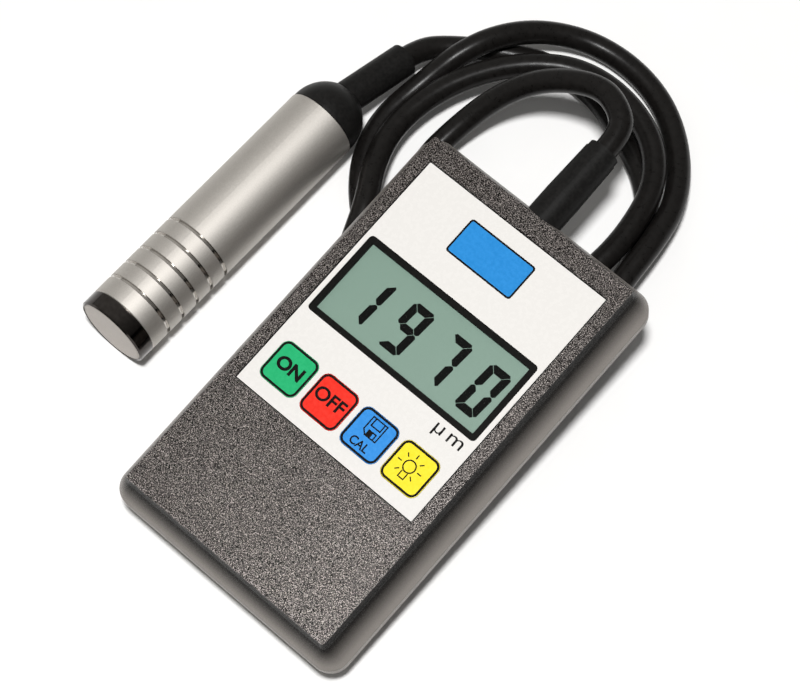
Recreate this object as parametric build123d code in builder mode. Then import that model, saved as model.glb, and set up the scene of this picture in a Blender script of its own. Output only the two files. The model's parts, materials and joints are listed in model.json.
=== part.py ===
"""Coating thickness gauge: a flat case with display and keys, and a round probe on a cable.

Millimetres, +Z up. The origin is on the surface that the gauge lies on, below the middle of
its box without the cable. The case lies on loops of its own cable, tilted about its bottom edge.
"""
import os
from math import atan2, cos, pi, radians, sin, tan

from build123d import *

os.makedirs("parts", exist_ok=True)

# Case: X is its width, Y its length from the bottom end, and its height is counted from the back
case_corner = 5.0
case_tilt = 7.0
rear_depth = 10.8
band_height = 3.0
side_inset = 4.2
end_inset = 3.45
face_corner = 0.8
back_inset = 3.0
back_edge = 1.5
front_wall = 2.0
back_wall = 2.0
side_wall = 2.2

# Side of the front shell, as shares of the inset and of the height above the parting line:
# a flare that curves in, and the steep wall over it
flare_form = ((0, 0), (0.2, 0.18), (0.46, 0.38), (0.72, 0.55), (0.88, 0.68))
wall_form = ((0.88, 0.68), (0.95, 0.82), (1, 1))

# Lip of the rear shell inside the front shell's rim
lip_height = 0.9
lip_inset = 1.4
lip_wall = 1.0
lip_clearance = 0.1
parting_groove = 0.3

# Front label, with its margins to the face's sides, its top end and below the keys
label_margin = 3.15
label_top_margin = 5.2
label_foot = 9.0
label_head = 21.55
label_corner = 0.4
label_thickness = 0.25
label_recess = 0.35
label_gap = 0.1
film_gap = 0.05

# Display
window_margin = 1.45
window_length = 22.1
window_corner = 1.0
window_border = 1.4
glass_side_ledge = 1.0
glass_end_ledge = 4.2
glass_thickness = 2.8
glass_depth = 1.2
glass_gap = 0.2
holder_wall = 1.8
strip_width = 2.4
strip_gap = 0.1
backlight_thickness = 3.6

# Keys, in a row below the window
key_size = 10.4
key_corner = 1.95
key_spacing = 1.4
key_to_window = 8.1
key_thickness = 0.35
key_travel = 0.3
key_gap = 0.05
plunger_radius = 2.0
switch_size = 6.0
switch_height = 3.5
switch_button = 1.7
button_height = 0.2
plunger_gap = 0.05
screw_roof = 1.0

# Circuit board and what it carries
board_side_gap = 6.2
board_end_gap = 16.4
board_thickness = 1.6
cell_height = 4.5
post_radius = 1.8
post_gap = 0.8
board_screw_radius = 0.9
board_screw_head = 1.7
board_screw_head_height = 1.2
chip_size = 12.0
chip_height = 2.0
connector_width = 8.0
connector_depth = 5.0
connector_height = 4.2
connector_margin = 1.0
chip_chamfer = 0.3

# Case screws, from the back
screw_radius = 1.4
screw_head_radius = 2.6
screw_head_height = 2.0
screw_seat = 4.0
screw_length = 13.0
boss_radius = 2.9
screw_clearance = 0.05
boss_gap = 0.45
boss_wall_gap = 4.3
screw_slot = 0.9

# Battery and its door
battery_width = 46.5
battery_depth = 26.5
battery_height = 17.5
battery_gap = 0.4
battery_edge = 1.5
terminal_radii = (3.0, 3.9)
terminal_height = 2.0
terminal_pitch = 12.7
snap_length = 24.0
snap_width = 11.5
snap_thickness = 3.6
snap_gap = 0.2
snap_fit = 0.1
snap_room = 2.9
door_side_wall = 6.8
door_thickness = 1.7
door_gap = 0.1
door_grip = 16.0
door_grip_width = 1.2
door_grip_pitch = 2.4
door_grip_depth = 0.5
rail_width = 1.0
rail_height = 0.8
rail_seat = 0.5
partition_wall = 1.5
lead_radius = 0.6
lead_bend = 0.5

# Cable
cable_radius = 2.9
sleeve_clearance = 0.05
case_sleeve_reach = 21.0
case_sleeve_inside = 5.0
case_sleeve_root = 4.5
case_sleeve_tip = 3.95
sleeve_lip = 1.5
sleeve_step = 0.25
case_cable_inside = 8.0
tie_gap = 0.2
tie_lock = 1.8
tie_width = 2.5
tie_thickness = 1.1

# Probe, lying beside the case with its axis along Y
probe_radius = 9.3
probe_wall = 1.5
probe_length = 71.7
probe_side = -59.7
probe_start = 26.6
ring_length = 4.2
ring_spigot = 5.0
ring_lip = 0.7
ring_edge = 0.4
face_recess = 0.25
edge_break = 0.2
probe_fit = 0.05
groove_count = 5
groove_pitch = 4.8
groove_first = 9.3
groove_width = 0.95
groove_depth = 0.7
face_thickness = 2.0
cap_plug = 8.0
cap_length = 9.0
cap_nose_radius = 4.9
cap_curve = 10.2
cap_step = 0.15
core_radius = 2.0
core_length = 18.0
spool_wall = 0.9
bobbin_radius = 6.3
bobbin_length = 14.0
bobbin_flange = 1.2
coil_radius = 5.7
probe_sleeve_radius = 4.1
probe_sleeve_length = 24.5
probe_sleeve_inside = 6.0
probe_sleeve_yaw = 7.0
probe_sleeve_dip = 10.5
sleeve_chamfer = 0.3
cable_in_probe = 14.0
wire_radius = 0.5
wire_pitch = 1.2
wire_run = 1.0
socket_pitch = 1.6
tail_run = 4.0
coil_lead_reach = 4.2
coil_lead_run = 6.0
coil_lead_bend = 2.0

# Sizes that follow from what the case holds: the battery across its bottom end, the board
# and the controls above it
face_width = side_wall + battery_gap + battery_width + snap_gap + snap_thickness + snap_room + side_wall
case_width = face_width + 2 * side_inset
case_height = front_wall + battery_gap + battery_height + battery_gap + door_thickness
parting_height = rear_depth
label_width = face_width - 2 * label_margin
window_width = label_width - 2 * window_margin
glass_width = window_width + 2 * glass_side_ledge
glass_length = window_length + 2 * glass_end_ledge
key_pitch = key_size + key_spacing
partition_start = end_inset + side_wall + battery_gap + battery_depth + battery_gap
partition_end = partition_start + partition_wall
boss_row = partition_end + boss_gap + boss_radius
board_start = boss_row + boss_radius + boss_gap
key_y = board_start + switch_size / 2 + board_thickness / 2
window_y = key_y + key_size / 2 + key_to_window + window_length / 2
label_start = key_y - label_foot
label_end = window_y + window_length / 2 + label_head
label_length = label_end - label_start
label_y = (label_start + label_end) / 2
case_length = label_end + label_top_margin + end_inset

# Middle of the box in plan, and how far the tilted case comes down onto its rounded edge
turn = radians(case_tilt)
back_slope = atan2(back_inset, parting_height - band_height)
edge_centre = back_inset + back_edge * tan(pi / 4 - back_slope / 2)
case_drop = edge_centre * sin(turn) + back_edge * cos(turn) - back_edge
case_sleeve_end = case_length + case_sleeve_reach
rearmost = case_sleeve_end * cos(turn) - (parting_height - case_sleeve_tip) * sin(turn)
foremost = -parting_height * sin(turn)
middle_x = (case_width / 2 + probe_side - probe_radius) / 2
middle_y = (rearmost + foremost) / 2

# The case's own plane: its back face, with the origin at the middle of the bottom end
lie = Plane(
    origin=(-middle_x, -middle_y, -case_drop),
    x_dir=(1, 0, 0),
    z_dir=(0, -sin(turn), cos(turn)),
)
across = lie.y_dir
ceiling = case_height - front_wall
recess_floor = case_height - label_recess
glass_top = case_height - glass_depth
glass_bottom = glass_top - glass_thickness
board_top = glass_bottom - cell_height
board_bottom = board_top - board_thickness
board_width = case_width - 2 * board_side_gap
board_end = case_length - board_end_gap
key_places = [((place - 1.5) * key_pitch, key_y) for place in range(4)]


def case_point(x, y, z):
    """A point given in the case's own plane."""
    return lie.from_local_coords((x, y, z))


def case_section(height, inset_x, inset_y, corner):
    """The case's plan outline, drawn in by an inset, at a height above the back."""
    with BuildSketch(lie.offset(height)) as section:
        with Locations((0, case_length / 2)):
            RectangleRounded(case_width - 2 * inset_x, case_length - 2 * inset_y, corner)
    return section.sketch


def skirt_section(inset_share, height_share):
    """The front shell's outline at one level of its side."""
    return case_section(
        parting_height + height_share * (case_height - parting_height),
        inset_share * side_inset,
        inset_share * end_inset,
        case_corner - inset_share * (case_corner - face_corner),
    )


def flat_box(x0, x1, y0, y1, z0, z1, mode=Mode.ADD):
    """A box between two corners, in the case's own plane."""
    with BuildSketch(lie.offset(z0)) as base:
        with Locations(((x0 + x1) / 2, (y0 + y1) / 2)):
            Rectangle(x1 - x0, y1 - y0)
    extrude(base.sketch, amount=z1 - z0, mode=mode)


def pillars(places, radius, z0, z1, mode=Mode.ADD):
    """Round pillars or holes between two heights, in the case's own plane."""
    with BuildSketch(lie.offset(z0)) as rounds:
        with Locations(*places):
            Circle(radius)
    extrude(rounds.sketch, amount=z1 - z0, mode=mode)


def rod_along_case(radius, y0, y1, mode=Mode.ADD):
    """A round bar along the case, centred on the parting plane."""
    end_plane = Plane(origin=case_point(0, y0, parting_height), x_dir=(1, 0, 0), z_dir=across)
    with BuildSketch(end_plane) as section:
        Circle(radius)
    extrude(section.sketch, amount=y1 - y0, mode=mode)


def write(piece, name):
    """Label a finished piece and write it."""
    piece.part.label = name
    export_step(piece.part, f"parts/{name}.step")


# Places that several pieces share
floor_half = case_width / 2 - back_inset - side_wall
top_inset_x = side_inset + side_wall
top_inset_y = end_inset + side_wall
screw_reach = case_width / 2 - boss_wall_gap - boss_radius
boss_top_row = case_length - end_inset - 1.6 * boss_radius
screw_places = [(side * screw_reach, row) for row in (boss_row, boss_top_row) for side in (-1, 1)]
post_reach = glass_width / 2 - post_gap
post_rows = [
    window_y - glass_length / 2 - glass_gap - post_radius - post_gap,
    window_y + glass_length / 2 + glass_gap + post_radius + post_gap,
]
post_places = [(side * post_reach, row) for row in post_rows for side in (-1, 1)]
notch_radius = case_sleeve_root + sleeve_clearance
battery_left = side_wall + battery_gap - face_width / 2
battery_right = battery_left + battery_width
lead_notch = (battery_right - door_gap, battery_right + 5 * lead_radius - door_gap)
door_half_width = case_width / 2 - door_side_wall
door_length = partition_end - door_gap
end_wall_inside = case_length - side_wall - end_inset

# Front shell: the flared skirt and face, hollowed from below
with BuildPart() as front_shell:
    loft([skirt_section(*shares) for shares in flare_form])
    loft([skirt_section(*shares) for shares in wall_form], ruled=True)
    hollow_rim = case_section(parting_height, side_wall, side_wall, case_corner - side_wall)
    hollow_top = case_section(ceiling, top_inset_x, top_inset_y, face_corner)
    loft([hollow_rim, hollow_top], ruled=True, mode=Mode.SUBTRACT)
    rim_inset = lip_inset - lip_clearance
    rim_step = case_section(parting_height, rim_inset, rim_inset, case_corner - lip_inset)
    extrude(rim_step, amount=lip_height + lip_clearance, mode=Mode.SUBTRACT)
    # Bosses, board posts and the wall beside the battery
    pillars(screw_places, boss_radius, ceiling, parting_height + lip_clearance)
    pillars(post_places, post_radius, ceiling, board_top)
    flat_box(
        -floor_half, floor_half, partition_start, partition_end, ceiling, parting_height + lip_clearance
    )
    hole_end = ceiling - screw_roof
    pillars(screw_places, screw_radius + screw_clearance, parting_height, hole_end, mode=Mode.SUBTRACT)
    pillars(post_places, board_screw_radius + screw_clearance, board_top, hole_end, mode=Mode.SUBTRACT)
    flat_box(
        *lead_notch, partition_start - partition_wall, partition_end + partition_wall,
        parting_height, parting_height + 3 * lead_radius, mode=Mode.SUBTRACT,
    )
    # Recess of the label, with the display's opening and its seat from inside
    with BuildSketch(lie.offset(recess_floor)):
        with Locations((0, label_y)):
            Rectangle(label_width + 2 * label_gap, label_length + 2 * label_gap)
    extrude(amount=label_recess, mode=Mode.SUBTRACT)
    with BuildSketch(lie.offset(glass_top)):
        with Locations((0, window_y)):
            Rectangle(window_width - 2 * window_border, window_length - 2 * window_border)
    extrude(amount=case_height - glass_top, mode=Mode.SUBTRACT)
    with BuildSketch(lie.offset(glass_bottom)):
        with Locations((0, window_y)):
            Rectangle(glass_width + 2 * glass_gap, glass_length + 2 * glass_gap)
    extrude(amount=glass_thickness, mode=Mode.SUBTRACT)
    # Pockets under the keys and the holes of their plungers
    with BuildSketch(lie.offset(recess_floor)):
        with Locations(*key_places):
            RectangleRounded(key_size + 2 * key_gap, key_size + 2 * key_gap, key_corner + key_gap)
    extrude(amount=-(key_travel + label_gap), mode=Mode.SUBTRACT)
    pillars(key_places, plunger_radius + key_gap, ceiling, recess_floor, mode=Mode.SUBTRACT)
    rod_along_case(notch_radius, end_wall_inside, case_length, mode=Mode.SUBTRACT)
write(front_shell, "front_shell")

# Outer form of the rear shell, from which its door is also cut
with BuildPart() as rear_form:
    back_outline = case_section(0, back_inset, back_inset, case_corner - back_inset)
    band_outline = case_section(parting_height - band_height, 0, 0, case_corner)
    loft([back_outline, band_outline], ruled=True)
    fillet(rear_form.faces().sort_by(Axis(lie.origin, lie.z_dir))[0].edges(), back_edge)
    extrude(band_outline, amount=band_height - parting_groove)
    groove_corner = case_corner - parting_groove
    groove_floor = case_section(
        parting_height - parting_groove, parting_groove, parting_groove, groove_corner
    )
    extrude(groove_floor, amount=parting_groove)

slot_half = door_half_width + door_gap
slot_height = door_thickness + door_gap

# Rear shell: the tub below the parting line
with BuildPart() as rear_shell:
    add(rear_form.part)
    tub_inset = lip_inset + lip_wall
    tub_floor = case_section(back_wall, back_inset + side_wall, back_inset + side_wall, face_corner)
    tub_rim = case_section(parting_height - band_height, tub_inset, tub_inset, case_corner - side_wall)
    loft([tub_floor, tub_rim], ruled=True, mode=Mode.SUBTRACT)
    extrude(tub_rim, amount=band_height, mode=Mode.SUBTRACT)
    with BuildSketch(lie.offset(parting_height)):
        with Locations((0, case_length / 2)):
            lip_outline = (case_width - 2 * lip_inset, case_length - 2 * lip_inset)
            RectangleRounded(*lip_outline, case_corner - lip_inset)
            lip_corner = case_corner - side_wall
            lip_hole = (case_width - 2 * tub_inset, case_length - 2 * tub_inset)
            RectangleRounded(*lip_hole, lip_corner, mode=Mode.SUBTRACT)
    extrude(amount=lip_height)
    pillars(screw_places, boss_radius, back_wall, parting_height)
    flat_box(-floor_half, floor_half, partition_start, partition_end, 0.9 * back_wall, parting_height)
    pillars(screw_places, screw_head_radius + 2 * screw_clearance, 0, screw_seat, mode=Mode.SUBTRACT)
    pillars(screw_places, screw_radius + 3 * screw_clearance, 0, parting_height, mode=Mode.SUBTRACT)
    # Slot of the door with its rails, and the way in for the battery
    door_end = door_length + door_gap
    flat_box(-slot_half, slot_half, -1, door_end, -1, slot_height, mode=Mode.SUBTRACT)
    for side in (-1, 1):
        inner, outer = sorted((side * (slot_half - 1), side * (slot_half + rail_width)))
        flat_box(
            inner, outer, -1, door_end, rail_seat - door_gap / 2,
            rail_seat + rail_height + door_gap / 2, mode=Mode.SUBTRACT,
        )
    flat_box(
        -slot_half, slot_half, back_inset + side_wall, partition_start, 0,
        back_wall + 1, mode=Mode.SUBTRACT,
    )
    rod_along_case(notch_radius, end_wall_inside, case_length + 1, mode=Mode.SUBTRACT)
write(rear_shell, "rear_shell")

# Battery door: the part of the rear form over the battery, with a rail along each side
with BuildPart() as battery_door:
    flat_box(-door_half_width, door_half_width, -1, door_length, -1, door_thickness)
    add(rear_form.part, mode=Mode.INTERSECT)
    for side in (-1, 1):
        inner, outer = sorted((side * (door_half_width - 1), side * (door_half_width + rail_width)))
        flat_box(inner, outer, 2 * back_inset, door_length, rail_seat, rail_seat + rail_height)
    with BuildSketch(lie):
        with Locations((0, door_length / 3)):
            with GridLocations(0, door_grip_pitch, 1, 4):
                SlotOverall(door_grip, door_grip_width)
    extrude(amount=door_grip_depth, mode=Mode.SUBTRACT)
write(battery_door, "battery_door")

# Case screws: pan heads in the counterbores, shanks up into the front shell
with BuildPart() as case_screws:
    pillars(screw_places, screw_head_radius, screw_seat - screw_head_height, screw_seat)
    pillars(screw_places, screw_radius, screw_seat, screw_seat + screw_length)
    slot_top = screw_seat - screw_head_height / 2
    pillars(screw_places, screw_slot, screw_seat - screw_head_height, slot_top, mode=Mode.SUBTRACT)
write(case_screws, "case_screws")

# Front label: a film with cut-outs for the display window and the keys
with BuildPart() as front_label:
    with BuildSketch(lie.offset(recess_floor)):
        with Locations((0, label_y)):
            RectangleRounded(label_width, label_length, label_corner)
        with Locations((0, window_y)):
            window_hole = (window_width + 2 * film_gap, window_length + 2 * film_gap)
            RectangleRounded(*window_hole, window_corner + film_gap, mode=Mode.SUBTRACT)
        with Locations(*key_places):
            RectangleRounded(
                key_size + 2 * key_gap, key_size + 2 * key_gap, key_corner + key_gap, mode=Mode.SUBTRACT
            )
    extrude(amount=label_thickness)
write(front_label, "front_label")

# Display window: a clear pane on the rim of the opening
with BuildPart() as display_window:
    with BuildSketch(lie.offset(recess_floor)):
        with Locations((0, window_y)):
            RectangleRounded(window_width, window_length, window_corner)
    extrude(amount=label_thickness)
write(display_window, "display_window")

# Display cell
with BuildPart() as lcd_glass:
    with BuildSketch(lie.offset(glass_bottom)):
        with Locations((0, window_y)):
            Rectangle(glass_width, glass_length)
    extrude(amount=glass_thickness)
write(lcd_glass, "lcd_glass")

# Holder under the cell, with room for the backlight and a contact strip along each long side
strip_row = glass_length / 2 - holder_wall - strip_width / 2
light_width = glass_width - 2 * holder_wall
light_length = glass_length - 4 * holder_wall - 2 * strip_width
with BuildPart() as lcd_holder:
    with BuildSketch(lie.offset(board_top)):
        with Locations((0, window_y)):
            Rectangle(glass_width, glass_length)
            Rectangle(light_width, light_length, mode=Mode.SUBTRACT)
            with GridLocations(0, 2 * strip_row, 1, 2):
                Rectangle(light_width, strip_width, mode=Mode.SUBTRACT)
    extrude(amount=glass_bottom - board_top)
write(lcd_holder, "lcd_holder")

with BuildPart() as zebra_strips:
    with BuildSketch(lie.offset(board_top)):
        with Locations((0, window_y)):
            with GridLocations(0, 2 * strip_row, 1, 2):
                Rectangle(light_width - 2 * strip_gap, strip_width - 2 * strip_gap)
    extrude(amount=glass_bottom - board_top)
write(zebra_strips, "zebra_strips")

with BuildPart() as backlight_panel:
    with BuildSketch(lie.offset(glass_bottom)):
        with Locations((0, window_y)):
            Rectangle(light_width - 2 * strip_gap, light_length - 2 * strip_gap)
    extrude(amount=-backlight_thickness)
write(backlight_panel, "backlight_panel")

# Circuit board, with holes for its screws
with BuildPart() as main_board:
    flat_box(-board_width / 2, board_width / 2, board_start, board_end, board_bottom, board_top)
    pillars(post_places, board_screw_radius + screw_clearance, board_bottom, board_top, mode=Mode.SUBTRACT)
write(main_board, "main_board")

with BuildPart() as board_screws:
    pillars(post_places, board_screw_head, board_bottom, board_bottom - board_screw_head_height)
    pillars(post_places, board_screw_radius, board_bottom, board_top + 4 * board_screw_radius)
write(board_screws, "board_screws")

# Chip and the two sockets, on the board's underside
with BuildPart() as controller_chip:
    flat_box(
        -chip_size / 2, chip_size / 2, window_y - chip_size, window_y,
        board_bottom - chip_height, board_bottom,
    )
    chamfer(controller_chip.faces().sort_by(Axis(lie.origin, lie.z_dir))[0].edges(), chip_chamfer)
write(controller_chip, "controller_chip")

lead_x = sum(lead_notch) / 2
lead_socket_y = board_start + 2 * connector_margin
probe_socket_y = board_end - connector_depth - connector_margin
with BuildPart() as lead_connector:
    flat_box(
        lead_x - connector_width / 2, lead_x + connector_width / 2 - connector_margin, lead_socket_y,
        lead_socket_y + connector_depth, board_bottom - connector_height, board_bottom,
    )
write(lead_connector, "lead_connector")

with BuildPart() as probe_connector:
    flat_box(
        -connector_width / 2, connector_width / 2, probe_socket_y, probe_socket_y + connector_depth,
        board_bottom - connector_height, board_bottom,
    )
write(probe_connector, "probe_connector")

with BuildPart() as tact_switches:
    with BuildSketch(lie.offset(board_top)):
        with Locations(*key_places):
            Rectangle(switch_size, switch_size)
    extrude(amount=switch_height)
    switch_top = board_top + switch_height + button_height
    pillars(key_places, switch_button, board_top + switch_height, switch_top)
write(tact_switches, "tact_switches")

# Keys, each with its plunger down to its switch
for name, place in zip(("on", "off", "calibrate", "light"), key_places):
    with BuildPart() as key:
        with BuildSketch(lie.offset(recess_floor)):
            with Locations(place):
                RectangleRounded(key_size, key_size, key_corner)
        extrude(amount=key_thickness)
        fillet(key.faces().sort_by(Axis(lie.origin, lie.z_dir))[-1].edges(), key_thickness / 3)
    write(key, f"key_{name}")
    with BuildPart() as plunger:
        pillars([place], plunger_radius, switch_top + key_travel + plunger_gap, recess_floor)
    write(plunger, f"plunger_{name}")

# Nine-volt battery lying across the case, its terminals towards the right
battery_y = top_inset_y + battery_gap
battery_low = door_thickness + battery_gap
battery_mid_y = battery_y + battery_depth / 2
battery_mid_z = battery_low + battery_height / 2
terminal_plane = Plane(
    origin=case_point(battery_right, battery_mid_y, battery_mid_z), x_dir=across, z_dir=(1, 0, 0)
)
terminal_places = [(side * terminal_pitch / 2, 0) for side in (-1, 1)]
with BuildPart() as battery:
    flat_box(
        battery_left, battery_right, battery_y, battery_y + battery_depth, battery_low,
        battery_low + battery_height,
    )
    fillet(battery.edges().filter_by(Axis.X), battery_edge)
    for place, radius in zip(terminal_places, terminal_radii):
        with BuildSketch(terminal_plane):
            with Locations(place):
                Circle(radius)
        extrude(amount=terminal_height)
write(battery, "battery")

with BuildPart() as battery_snap:
    with BuildSketch(terminal_plane.offset(snap_gap)):
        SlotOverall(snap_length, snap_width)
    extrude(amount=snap_thickness)
    for place, radius in zip(terminal_places, terminal_radii):
        with BuildSketch(terminal_plane.offset(snap_gap)):
            with Locations(place):
                Circle(radius + snap_fit)
        extrude(amount=terminal_height, mode=Mode.SUBTRACT)
write(battery_snap, "battery_snap")

# Two wires from the snap through the notch in the wall to their socket
snap_x = battery_right + snap_gap + snap_thickness / 2
snap_end = battery_mid_y + snap_length / 2 + lead_radius / 4
lead_spacing = 1.2 * lead_radius
lead_height = parting_height + 1.6 * lead_radius
socket_height = board_bottom - connector_height / 2
with BuildPart() as battery_leads:
    for step in (-1, 1):
        wire_x = lead_x + step * lead_spacing
        with BuildLine() as path:
            FilletPolyline(
                case_point(snap_x + step * lead_spacing, snap_end, lead_height),
                case_point(wire_x, partition_start, lead_height),
                case_point(wire_x, partition_end + lead_radius, lead_height),
                case_point(wire_x, lead_socket_y - 2 * lead_radius, socket_height),
                case_point(wire_x, lead_socket_y, socket_height),
                radius=lead_bend,
            )
        with BuildSketch(Plane(origin=path.wire() @ 0, z_dir=path.wire() % 0)):
            Circle(lead_radius)
        sweep()
write(battery_leads, "battery_leads")

# Strain relief of the cable in the case's top end, held between the two shells
sleeve_start = end_wall_inside - case_sleeve_inside + side_wall
sleeve_plane = Plane(origin=case_point(0, sleeve_start, parting_height), x_dir=across, z_dir=(1, 0, 0))
sleeve_axis = Axis(sleeve_plane.origin, sleeve_plane.x_dir)
sleeve_total = case_sleeve_end - sleeve_start
sleeve_bore = cable_radius + sleeve_clearance
with BuildPart() as case_cable_sleeve:
    with BuildSketch(sleeve_plane):
        with BuildLine():
            Polyline(
                (0, sleeve_bore),
                (0, case_sleeve_root),
                (sleeve_total / 2, case_sleeve_root),
                (sleeve_total - sleeve_lip, case_sleeve_tip + sleeve_step),
                (sleeve_total - sleeve_lip, case_sleeve_tip),
                (sleeve_total, case_sleeve_tip),
                (sleeve_total, sleeve_bore),
                close=True,
            )
        make_face()
    revolve(axis=sleeve_axis)
write(case_cable_sleeve, "case_cable_sleeve")

cable_inner_end = end_wall_inside - case_cable_inside
with BuildPart() as cable_case_end:
    rod_along_case(cable_radius, cable_inner_end, case_sleeve_end)
write(cable_case_end, "cable_case_end")

# Tie round the cable behind the sleeve
with BuildPart() as cable_tie:
    tie_start = sleeve_start - tie_gap - tie_width
    rod_along_case(cable_radius + tie_thickness, tie_start, tie_start + tie_width)
    flat_box(
        -tie_lock, tie_lock, tie_start, tie_start + tie_width, parting_height,
        parting_height + cable_radius + 2 * tie_thickness,
    )
    rod_along_case(cable_radius + sleeve_clearance, tie_start, tie_start + tie_width, mode=Mode.SUBTRACT)
write(cable_tie, "cable_tie")

# Three wires from the cable's end to the probe socket
socket_face = probe_socket_y + connector_depth
with BuildPart() as probe_leads:
    for step in (-1, 0, 1):
        with BuildLine() as path:
            FilletPolyline(
                case_point(step * wire_pitch, cable_inner_end, parting_height),
                case_point(step * wire_pitch, cable_inner_end - wire_run, parting_height),
                case_point(step * socket_pitch, socket_face + wire_run, socket_height),
                case_point(step * socket_pitch, socket_face, socket_height),
                radius=lead_bend,
            )
        with BuildSketch(Plane(origin=path.wire() @ 0, z_dir=path.wire() % 0)):
            Circle(wire_radius)
        sweep()
write(probe_leads, "probe_leads")

# Probe, drawn as half profiles along its axis and turned
probe_plane = Plane(
    origin=(probe_side - middle_x, probe_start - middle_y, probe_radius), x_dir=(0, 1, 0), z_dir=(1, 0, 0)
)
probe_axis = Axis(probe_plane.origin, probe_plane.x_dir)
bore_radius = probe_radius - probe_wall
spigot_radius = bore_radius - probe_fit


def turned(*points):
    """Turn a half profile, given as points along and out from the probe's axis."""
    with BuildSketch(probe_plane) as profile:
        with BuildLine():
            Polyline(*points, close=True)
        make_face()
    revolve(profile.sketch, axis=probe_axis)


# Aluminium tube with its grip grooves
with BuildPart() as probe_tube:
    turned(
        (ring_length, bore_radius),
        (ring_length, probe_radius - edge_break),
        (ring_length + edge_break, probe_radius),
        (probe_length - edge_break, probe_radius),
        (probe_length, probe_radius - edge_break),
        (probe_length, bore_radius),
    )
    with BuildSketch(probe_plane):
        for groove in range(groove_count):
            with Locations((groove_first + groove * groove_pitch, probe_radius)):
                Rectangle(groove_width, 2 * groove_depth)
    revolve(axis=probe_axis, mode=Mode.SUBTRACT)
write(probe_tube, "probe_tube")

# Polished ring at the measuring end, with its spigot in the tube
face_radius = probe_radius - ring_lip
with BuildPart() as probe_tip_ring:
    turned(
        (face_recess, face_radius),
        (0, face_radius + face_recess),
        (0, probe_radius - ring_edge),
        (ring_edge, probe_radius),
        (ring_length - edge_break, probe_radius),
        (ring_length, probe_radius - edge_break),
        (ring_length, spigot_radius),
        (ring_length + ring_spigot, spigot_radius),
        (ring_length + ring_spigot, bobbin_radius + probe_fit),
        (face_thickness, bobbin_radius + probe_fit),
        (face_thickness, face_radius),
    )
write(probe_tip_ring, "probe_tip_ring")

with BuildPart() as probe_face:
    turned(
        (0, 0),
        (0, face_radius - ring_edge),
        (edge_break, face_radius - probe_fit),
        (face_thickness, face_radius - probe_fit),
        (face_thickness, 0),
    )
write(probe_face, "probe_face")

# Former, winding and core behind the measuring face
bobbin_end = face_thickness + bobbin_length
spool_radius = core_radius + probe_fit + spool_wall
with BuildPart() as probe_bobbin:
    turned(
        (face_thickness, core_radius + probe_fit),
        (face_thickness, bobbin_radius),
        (face_thickness + bobbin_flange, bobbin_radius),
        (face_thickness + bobbin_flange, spool_radius),
        (bobbin_end - bobbin_flange, spool_radius),
        (bobbin_end - bobbin_flange, bobbin_radius),
        (bobbin_end, bobbin_radius),
        (bobbin_end, core_radius + probe_fit),
    )
write(probe_bobbin, "probe_bobbin")

with BuildPart() as probe_coil:
    turned(
        (face_thickness + bobbin_flange + probe_fit, spool_radius + probe_fit),
        (face_thickness + bobbin_flange + probe_fit, coil_radius),
        (bobbin_end - bobbin_flange - probe_fit, coil_radius),
        (bobbin_end - bobbin_flange - probe_fit, spool_radius + probe_fit),
    )
write(probe_coil, "probe_coil")

with BuildPart() as probe_core:
    turned(
        (face_thickness, 0),
        (face_thickness, core_radius),
        (face_thickness + core_length, core_radius),
        (face_thickness + core_length, 0),
    )
write(probe_core, "probe_core")

# Line of the cable where it leaves the probe, leaning to one side and down
yaw = radians(probe_sleeve_yaw)
dip = radians(probe_sleeve_dip)
exit_way = Vector(sin(yaw) * cos(dip), cos(yaw) * cos(dip), -sin(dip))
cap_end = probe_plane.from_local_coords((probe_length + cap_length, 0, 0))
sleeve_root = cap_end - exit_way * probe_sleeve_inside
exit_plane = Plane(origin=sleeve_root, z_dir=exit_way)
probe_mouth = sleeve_root + exit_way * probe_sleeve_length

# Rubber cap: a plug in the tube and a dome over its end, with the cable's way through it
dome_start = probe_length + probe_fit
with BuildPart() as probe_rear_cap:
    with BuildSketch(probe_plane):
        with BuildLine():
            Polyline(
                (dome_start, probe_radius - cap_step),
                (dome_start, spigot_radius),
                (probe_length - cap_plug, spigot_radius),
                (probe_length - cap_plug, 0),
                (probe_length + cap_length, 0),
                (probe_length + cap_length, cap_nose_radius),
            )
            dome_foot = (dome_start, probe_radius - cap_step)
            RadiusArc((probe_length + cap_length, cap_nose_radius), dome_foot, -cap_curve)
        make_face()
    revolve(axis=probe_axis)
    with BuildSketch(exit_plane):
        Circle(probe_sleeve_radius + sleeve_clearance)
    extrude(amount=2 * cap_length, mode=Mode.SUBTRACT)
    with BuildSketch(exit_plane):
        Circle(cable_radius + sleeve_clearance)
    extrude(amount=-3 * cap_plug, mode=Mode.SUBTRACT)
write(probe_rear_cap, "probe_rear_cap")

with BuildPart() as probe_cable_sleeve:
    with BuildSketch(exit_plane):
        Circle(probe_sleeve_radius)
        Circle(cable_radius + sleeve_clearance, mode=Mode.SUBTRACT)
    extrude(amount=probe_sleeve_length)
    mouth_rims = probe_cable_sleeve.edges().filter_by(GeomType.CIRCLE).sort_by(Axis(sleeve_root, exit_way))
    chamfer(mouth_rims[-1], sleeve_chamfer)
write(probe_cable_sleeve, "probe_cable_sleeve")

with BuildPart() as cable_probe_end:
    with BuildSketch(exit_plane.offset(-cable_in_probe)):
        Circle(cable_radius)
    extrude(amount=cable_in_probe + probe_sleeve_length)
write(cable_probe_end, "cable_probe_end")

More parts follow.
